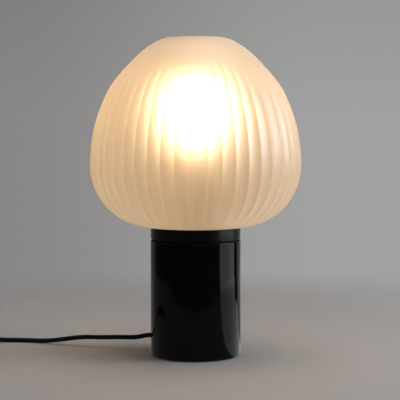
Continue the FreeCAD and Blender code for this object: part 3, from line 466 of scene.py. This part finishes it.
def frostedInside():  # smooth inner face, which lets the lamp's light straight in to the etched one
    material, tree, shader = newMaterial("frostedInside")
    tree.nodes.remove(shader)
    out = tree.nodes["Material Output"]
    place = addNode(tree, "ShaderNodeTexCoord").outputs["Object"]
    cloud = addNode(tree, "ShaderNodeTexNoise", {"Vector": place, "Scale": 30.0, "Detail": 2.0}).outputs[0]
    tint = mixColour(tree, rampTo(tree, cloud, 0.3, 0.7), (0.97, 0.95, 0.93), (1.0, 0.99, 0.98))
    clear = addNode(tree, "ShaderNodeBsdfTransparent", {"Color": tint})
    milky = addNode(tree, "ShaderNodeBsdfDiffuse", {"Color": (0.86, 0.84, 0.81, 1.0)})
    mixed = addNode(tree, "ShaderNodeMixShader", {0: glass["innerMilk"], 1: clear.outputs[0],
                                                  2: milky.outputs[0]})
    tree.links.new(mixed.outputs[0], out.inputs["Surface"])
    return material


addPiece("flutedShade", shadeBmesh(), [frostedGlass(), frostedInside()], "shade", ["glass_shade"],
         sharp=None)
print("shade pressed")


# Opal bulb that lights the shade
bulb = {
    "neckRadius": 0.0145, "globeRadius": 0.030, "globeHeight": 0.3063, "foot": 0.2578, "neckStraight": 0.002,
    "glow": (1.0, 0.66, 0.35), "strength": 26.5,
    "neckGlow": 0.50, "crownGlow": 0.22,  # shares of the strength at the foot and at the top
    "neckEnd": 0.004, "crownStart": 0.002,  # over the globe's centre
}


def bulbBmesh():  # neck, a hollow sweep and the globe, as one line turned about the axis
    foot = bulb["foot"] + bulb["neckStraight"]
    rise = bulb["globeHeight"] - foot
    turn = 2 * math.atan((bulb["globeRadius"] - bulb["neckRadius"]) / rise)
    bend = rise / math.sin(turn) - bulb["globeRadius"]
    profile = [(0.0, bulb["foot"]), (bulb["neckRadius"], bulb["foot"])]
    for k in range(9):
        a = turn * k / 8
        profile.append((bulb["neckRadius"] + bend - bend * math.cos(a), foot + bend * math.sin(a)))
    for k in range(1, 29):
        a = -turn + (math.pi / 2 + turn) * k / 28
        around, up = bulb["globeRadius"] * math.cos(a), bulb["globeRadius"] * math.sin(a)
        profile.append((around, bulb["globeHeight"] + up))
    profile[-1] = (0.0, profile[-1][1])
    return turnedMesh(profile, 96, closed=False)


def glowingOpal():
    material, tree, shader = newMaterial("glowingOpal")
    place = addNode(tree, "ShaderNodeTexCoord").outputs["Object"]
    height = addNode(tree, "ShaderNodeSeparateXYZ", {0: place}).outputs[2]
    cloud = addNode(tree, "ShaderNodeTexNoise", {"Vector": place, "Scale": 40.0, "Detail": 2.0}).outputs[0]
    warm = [c * 0.96 for c in bulb["glow"]]
    tree.links.new(mixColour(tree, cloud, warm, bulb["glow"]), shader.inputs["Emission Color"])
    middle, strength = bulb["globeHeight"], bulb["strength"]
    rise = rampTo(tree, height, bulb["foot"], middle + bulb["neckEnd"], bulb["neckGlow"] * strength, strength,
                  smooth=True)
    top = rampTo(tree, height, middle + bulb["crownStart"], middle + bulb["globeRadius"], 1.0,
                 bulb["crownGlow"])
    tree.links.new(sum2(tree, "MULTIPLY", rise, top), shader.inputs["Emission Strength"])
    tree.links.new(rampTo(tree, cloud, 0.3, 0.7, 0.22, 0.3), shader.inputs["Roughness"])
    shader.inputs["Base Color"].default_value = (0.9, 0.89, 0.86, 1.0)
    return material


addPiece("opalBulb", bulbBmesh(), [glowingOpal()], "bulb", ["bulb_glass"])
print("bulb lit")


# Polished stone base
stone = {
    "radius": 0.057, "foot": 0.0015, "top": 0.146, "footRounding": 0.0009, "topRounding": 0.0006,
    "colour": (0.0022, 0.0022, 0.0024), "fleck": (0.006, 0.006, 0.0062), "vein": (0.010, 0.0095, 0.009),
    "roughness": 0.075, "gloss": 1.33,
}


def polishedStone():  # black stone with faint veins and flecks, polished almost to a mirror
    material, tree, shader = newMaterial("polishedStone")
    place = addNode(tree, "ShaderNodeTexCoord").outputs["Object"]
    warp = addNode(tree, "ShaderNodeTexNoise", {"Vector": place, "Scale": 9.0, "Detail": 5.0}).outputs[0]
    drift = addNode(tree, "ShaderNodeVectorMath", {0: place, 1: warp}, operation="ADD").outputs[0]
    vein = addNode(tree, "ShaderNodeTexNoise", {"Vector": drift, "Scale": 7.0, "Detail": 6.0}).outputs[0]
    line = rampTo(tree, sum2(tree, "ABSOLUTE", sum2(tree, "SUBTRACT", vein, 0.5), 0.0), 0.0, 0.012, 1.0, 0.0)
    fleck = addNode(tree, "ShaderNodeTexVoronoi", {"Vector": place, "Scale": 420.0}).outputs[0]
    fleck = rampTo(tree, fleck, 0.12, 0.2, 1.0, 0.0)
    base = mixColour(tree, fleck, stone["colour"], stone["fleck"])
    tree.links.new(mixColour(tree, sum2(tree, "MULTIPLY", line, 0.35), base, stone["vein"]),
                   shader.inputs["Base Color"])
    polish = addNode(tree, "ShaderNodeTexNoise", {"Vector": place, "Scale": 60.0, "Detail": 3.0}).outputs[0]
    rough = rampTo(tree, polish, 0.3, 0.7, stone["roughness"] - 0.02, stone["roughness"] + 0.02)
    tree.links.new(rough, shader.inputs["Roughness"])
    shader.inputs["IOR"].default_value = stone["gloss"]
    return material


stoneProfile = [(0.0, stone["foot"]), (stone["radius"], stone["foot"], stone["footRounding"]),
                (stone["radius"], stone["top"], stone["topRounding"]), (0.0, stone["top"])]
addPiece("stoneBase", turnedMesh(stoneProfile, 192, closed=False), [polishedStone()], "lamp", ["stone_body"])
print("stone base turned")


# Black metal collar with its spigot
collar = {
    "radius": 0.0566, "foot": 0.1483, "top": 0.1628, "rounding": 0.0004, "wall": 0.003, "spigot": 0.0464,
    "spigotWall": 0.002, "spigotTop": 0.1688, "hole": 0.0053, "colour": (0.006, 0.0058, 0.0056),
    "roughness": 0.3, "gloss": 1.33,
}


def blackTurned():  # black lacquered metal with the faint rings that turning leaves
    material, tree, shader = newMaterial("blackTurned")
    place = addNode(tree, "ShaderNodeTexCoord").outputs["Object"]
    split = addNode(tree, "ShaderNodeSeparateXYZ", {0: place})
    flat = addNode(tree, "ShaderNodeCombineXYZ", {0: split.outputs[0], 1: split.outputs[1]}).outputs[0]
    radius = addNode(tree, "ShaderNodeVectorMath", {0: flat}, operation="LENGTH").outputs["Value"]
    rings = addNode(tree, "ShaderNodeCombineXYZ", {0: radius, 2: split.outputs[2]}).outputs[0]
    lines = addNode(tree, "ShaderNodeTexNoise", {"Vector": rings, "Scale": 3500.0, "Detail": 2.0}).outputs[0]
    cloud = addNode(tree, "ShaderNodeTexNoise", {"Vector": place, "Scale": 80.0, "Detail": 2.0}).outputs[0]
    tree.links.new(mixColour(tree, cloud, [c * 0.8 for c in collar["colour"]], collar["colour"]),
                   shader.inputs["Base Color"])
    rough = sum2(tree, "ADD", rampTo(tree, lines, 0.3, 0.7, -0.03, 0.03), collar["roughness"])
    tree.links.new(rough, shader.inputs["Roughness"])
    bump = addNode(tree, "ShaderNodeBump", {"Height": lines, "Distance": 0.000006, "Strength": 1.0})
    tree.links.new(bump.outputs[0], shader.inputs["Normal"])
    shader.inputs["IOR"].default_value = collar["gloss"]
    return material


def collarProfile():
    r, w, z1, soft = collar["radius"], collar["wall"], collar["top"], collar["rounding"]
    inner = r - w
    return [(collar["hole"], z1 - w), (inner, z1 - w), (inner, collar["foot"]), (r, collar["foot"], soft),
            (r, z1, soft), (collar["spigot"], z1), (collar["spigot"], collar["spigotTop"], 0.0003),
            (collar["spigot"] - collar["spigotWall"], collar["spigotTop"], 0.0003),
            (collar["spigot"] - collar["spigotWall"], z1), (collar["hole"], z1)]


addPiece("collarRing", turnedMesh(collarProfile(), 192), [blackTurned()], "lamp", ["collar_cup"])
print("collar turned")


# Finishes of the nodes that stay as they are
def feltPad():
    return grainy("feltPad", (0.012, 0.012, 0.012), 0.95, scale=1400.0, spread=0.5, bump=0.0002,
                  Sheen_Weight=0.3)


nodeFinishes = {
    "base_pad": feltPad(),
    "gap_spacer": grainy("mattSpacer", (0.0015, 0.0015, 0.0015), 0.7, Specular_IOR_Level=0.1),
    "recess_cover": grainy("coverPlastic", (0.02, 0.02, 0.02), 0.45, scale=900.0, bump=0.00003),
    "shade_gasket": grainy("softGasket", (0.10, 0.10, 0.095), 0.45, scale=500.0, Transmission_Weight=0.2),
    "holder_insert": grainy("porcelain", (0.80, 0.79, 0.75), 0.18, scale=250.0, spread=0.02, Coat_Weight=0.5),
    "bulb_insulator": grainy("blackGlass", (0.01, 0.01, 0.012), 0.12, scale=200.0),
    "bulb_contact": grainy("solder", (0.45, 0.45, 0.44), 0.38, metallic=1.0, scale=900.0, bump=0.00006),
    "bulb_driver": grainy("boardGreen", (0.03, 0.12, 0.05), 0.5, scale=700.0, spread=0.3),
    "bulb_stem": grainy("stemGlass", (0.85, 0.87, 0.86), 0.08, scale=150.0, spread=0.02,
                        Transmission_Weight=0.9),
    "bulb_filaments": grainy("phosphor", (0.85, 0.62, 0.12), 0.7, scale=1500.0, spread=0.1),
    "cord_grommet": grainy("grommetRubber", (0.006, 0.006, 0.006), 0.6, scale=700.0, bump=0.00004),
    "switch_rocker": grainy("rockerPlastic", (0.008, 0.008, 0.0085), 0.28, scale=900.0, bump=0.00001),
    "plug_boot": grainy("bootRubber", (0.008, 0.008, 0.008), 0.62, scale=800.0, bump=0.00004),
    "pin_sleeves": grainy("sleevePlastic", (0.009, 0.009, 0.009), 0.4, scale=800.0),
    "coil_tie": grainy("tieBand", (0.010, 0.010, 0.010), 0.8, scale=1200.0, spread=0.4, bump=0.0001),
    "cord_inner": grainy("innerCloth", (0.009, 0.008, 0.007), 0.85, scale=1500.0, spread=0.3, bump=0.0001),
    "wire_live": grainy("brownWire", (0.10, 0.035, 0.015), 0.4, scale=500.0),
    "wire_neutral": grainy("blueWire", (0.02, 0.09, 0.30), 0.4, scale=500.0),
    "bulb_cap": grainy("nickel", (0.66, 0.63, 0.58), 0.24, metallic=1.0, scale=600.0, bump=0.00002),
}
sharedFinishes = [
    (grainy("satinSteel", (0.52, 0.52, 0.51), 0.34, metallic=1.0, scale=900.0, stretch=(1, 1, 6)),
     ["cover_screws", "tube_nut", "anchor_plate", "grip_screws", "switch_screws", "terminal_screws",
      "cord_grip", "threaded_tube", "plug_pins"]),
    (grainy("darkLacquer", (0.008, 0.0078, 0.0075), 0.38, scale=500.0),
     ["holder_sleeve", "sleeve_washer", "holder_cap", "holder_skirt"]),
    (grainy("softBrass", (0.72, 0.50, 0.20), 0.32, metallic=1.0, scale=700.0, bump=0.00002),
     ["thread_shell", "centre_contact", "side_contact", "switch_contacts"]),
    (grainy("mouldedBlack", (0.007, 0.007, 0.0072), 0.42, scale=1100.0, bump=0.00003, roughSpread=0.05),
     ["switch_base", "switch_cover", "plug_body"]),
]
for material, names in sharedFinishes:
    nodeFinishes.update({name: material for name in names})
for name, material in nodeFinishes.items():
    mesh = nodes[name].data
    mesh.materials.clear()
    mesh.materials.append(material)
print("finishes set on", len(nodeFinishes), "nodes")


# Floor and background
room = {
    "floorRight": (0.475, 0.445, 0.42), "floorLeft": (0.475, 0.455, 0.44),
    # backdrop colours, painted darker on the left as shade away from the key light
    "backShadedLeft": (0.250, 0.243, 0.236), "backRight": (0.356, 0.356, 0.354), "backTop": 0.86,
    "fadeStart": 0.32, "fadeEnd": 0.95, "tableFront": -0.39,
    # painted reflection: brightness that only glossy rays see on the floor and in the world
    "mirrorFront": 0.13, "mirrorDark": 0.04, "mirrorNear": 0.7, "mirrorFar": 1.5, "mirrorLeft": 0.185,
    "mirrorBack": 0.38, "mirrorFoot": 0.16,
    # degrees round the lamp, 0 at the front and + to the right, where each zone of the painted reflection
    # starts and ends
    "brightFrom": 64, "brightTo": 115, "gapTo": 131, "leftFrom": -128, "leftTo": -120, "zoneSoft": 2.0,
    # distances over the floor from the lamp
    "brightStart": 0.6, "brightEnd": 1.3, "backStart": 0.1, "backEnd": 1.0, "gapStart": 0.45, "gapEnd": 0.55,
    "floorRadius": 1.3,
}


def between(tree, value, low, high, soft):  # 1 where the value lies between low and high, with soft edges
    rise = rampTo(tree, value, low - soft, low + soft)
    return sum2(tree, "MULTIPLY", rise, rampTo(tree, value, high - soft, high + soft, 1.0, 0.0))


def paintedReflectionGlow(tree, x, y, front, bright, gap, back):  # painted reflection: how bright the room is made to look in the polished base
    turn = sum2(tree, "ARCTAN2", x, sum2(tree, "MULTIPLY", y, -1.0))
    turn = sum2(tree, "MULTIPLY", turn, 180 / math.pi)
    soft = room["zoneSoft"]
    zones = [
        (between(tree, turn, room["brightFrom"], room["brightTo"], soft), bright),
        (between(tree, turn, room["brightTo"], room["gapTo"], soft), gap),
        (rampTo(tree, turn, room["gapTo"] - soft, room["gapTo"] + soft), back),
        (rampTo(tree, turn, room["leftFrom"], room["leftTo"], 1.0, 0.0), room["mirrorLeft"]),
    ]
    glow = front
    for share, value in zones:
        glow = addNode(tree, "ShaderNodeMix", {0: share, 2: glow, 3: value}).outputs[0]
    return glow


def floorMaterial():
    material, tree, shader = newMaterial("paleFloor")
    out = tree.nodes["Material Output"]
    place = addNode(tree, "ShaderNodeTexCoord").outputs["Object"]
    split = addNode(tree, "ShaderNodeSeparateXYZ", {0: place}).outputs
    side = rampTo(tree, split[0], -0.35, 0.15, smooth=True)
    tree.links.new(mixColour(tree, side, room["floorLeft"], room["floorRight"]), shader.inputs["Base Color"])
    shader.inputs["Roughness"].default_value = 0.85
    shader.inputs["Specular IOR Level"].default_value = 0.1
    far = addNode(tree, "ShaderNodeVectorMath", {0: place}, operation="LENGTH").outputs["Value"]
    fade = rampTo(tree, far, room["fadeStart"], room["fadeEnd"], smooth=True)
    rays = addNode(tree, "ShaderNodeLightPath").outputs
    front = rampTo(tree, split[1], room["tableFront"] - 0.01, room["tableFront"] + 0.01, room["mirrorDark"],
                   room["mirrorFront"])
    bright = rampTo(tree, far, room["brightStart"], room["brightEnd"], room["mirrorNear"], room["mirrorFar"],
                    smooth=True)
    back = rampTo(tree, far, room["backStart"], room["backEnd"], room["mirrorFoot"], room["mirrorBack"])
    gap = rampTo(tree, far, room["gapStart"], room["gapEnd"], room["mirrorNear"], room["mirrorDark"])
    # painted reflection: glossy rays see these emission zones on the floor in place of a lit room
    glow = paintedReflectionGlow(tree, split[0], split[1], front, bright, gap, back)
    paintedReflection = addNode(tree, "ShaderNodeEmission", {"Strength": glow})
    clear = addNode(tree, "ShaderNodeBsdfTransparent")
    mixed = addNode(tree, "ShaderNodeMixShader", {0: fade, 1: shader.outputs[0], 2: clear.outputs[0]})
    shown = addNode(tree, "ShaderNodeMixShader", {0: rays["Is Glossy Ray"], 1: mixed.outputs[0],
                                                  2: paintedReflection.outputs[0]})
    tree.links.new(shown.outputs[0], out.inputs["Surface"])
    return material


def makeFloor():
    bm = bmesh.new()
    bmesh.ops.create_circle(bm, cap_ends=True, segments=96, radius=room["floorRadius"])
    mesh = bpy.data.meshes.new("floor")
    bm.to_mesh(mesh)
    bm.free()
    mesh.materials.append(floorMaterial())
    floor = bpy.data.objects.new("floor", mesh)
    bpy.context.scene.collection.objects.link(floor)


def makeWorld():
    world = bpy.data.worlds.new("studio")
    world.use_nodes = True
    bpy.context.scene.world = world
    tree = world.node_tree
    way = addNode(tree, "ShaderNodeTexCoord").outputs["Generated"]
    split = addNode(tree, "ShaderNodeSeparateXYZ", {0: way})
    # painted shade: the backdrop darkens towards the left, away from the key light
    side = rampTo(tree, split.outputs[0], -0.16, 0.10, smooth=True)
    colour = mixColour(tree, side, room["backShadedLeft"], room["backRight"])
    high = rampTo(tree, split.outputs[2], 0.0, 0.10, 1.0, room["backTop"])
    rays = addNode(tree, "ShaderNodeLightPath").outputs
    seen = sum2(tree, "MAXIMUM", rays["Is Camera Ray"], rays["Is Transmission Ray"])
    ambient = sum2(tree, "MULTIPLY", rays["Is Diffuse Ray"], 0.75)
    background = tree.nodes["Background"]
    tree.links.new(colour, background.inputs["Color"])
    strength = sum2(tree, "MULTIPLY", sum2(tree, "ADD", seen, ambient), high)
    tree.links.new(strength, background.inputs["Strength"])
    # painted reflection: glossy rays see these zones in the world in place of a lit room
    glow = paintedReflectionGlow(tree, split.outputs[0], split.outputs[1], room["mirrorDark"], room["mirrorFar"],
                      room["mirrorDark"], room["mirrorBack"])
    paintedReflection = addNode(tree, "ShaderNodeBackground", {"Strength": glow})
    mixed = addNode(tree, "ShaderNodeMixShader", {0: rays["Is Glossy Ray"], 1: background.outputs[0],
                                                  2: paintedReflection.outputs[0]})
    tree.links.new(mixed.outputs[0], tree.nodes["World Output"].inputs["Surface"])


# Soft studio light: (place, aim, width, height, brightness, colour)
softboxes = {
    "overhead": ((0.2, 0.0, 1.9), (0.0, 0.0, 0.1), 1.5, 1.5, 1.5, (1.0, 0.985, 0.97)),
    "keyRight": ((1.35, -0.15, 0.66), (0.0, 0.0, 0.2), 0.7, 0.7, 6.3, (0.86, 0.97, 1.13)),
}


def makeLights():
    for name, (place, aim, width, height, brightness, colour) in softboxes.items():
        data = bpy.data.lights.new(name, "AREA")
        data.shape, data.size, data.size_y = "RECTANGLE", width, height
        data.energy = brightness * math.pi * width * height
        data.color = colour
        light = bpy.data.objects.new(name, data)
        light.location = place
        light.rotation_mode = "QUATERNION"
        light.rotation_quaternion = (Vector(place) - Vector(aim)).to_track_quat("Z", "Y")
        light.visible_camera = False
        bpy.context.scene.collection.objects.link(light)


makeFloor()
makeWorld()
makeLights()
bpy.context.scene.view_settings.view_transform = "Standard"
print("floor, background and lights set")
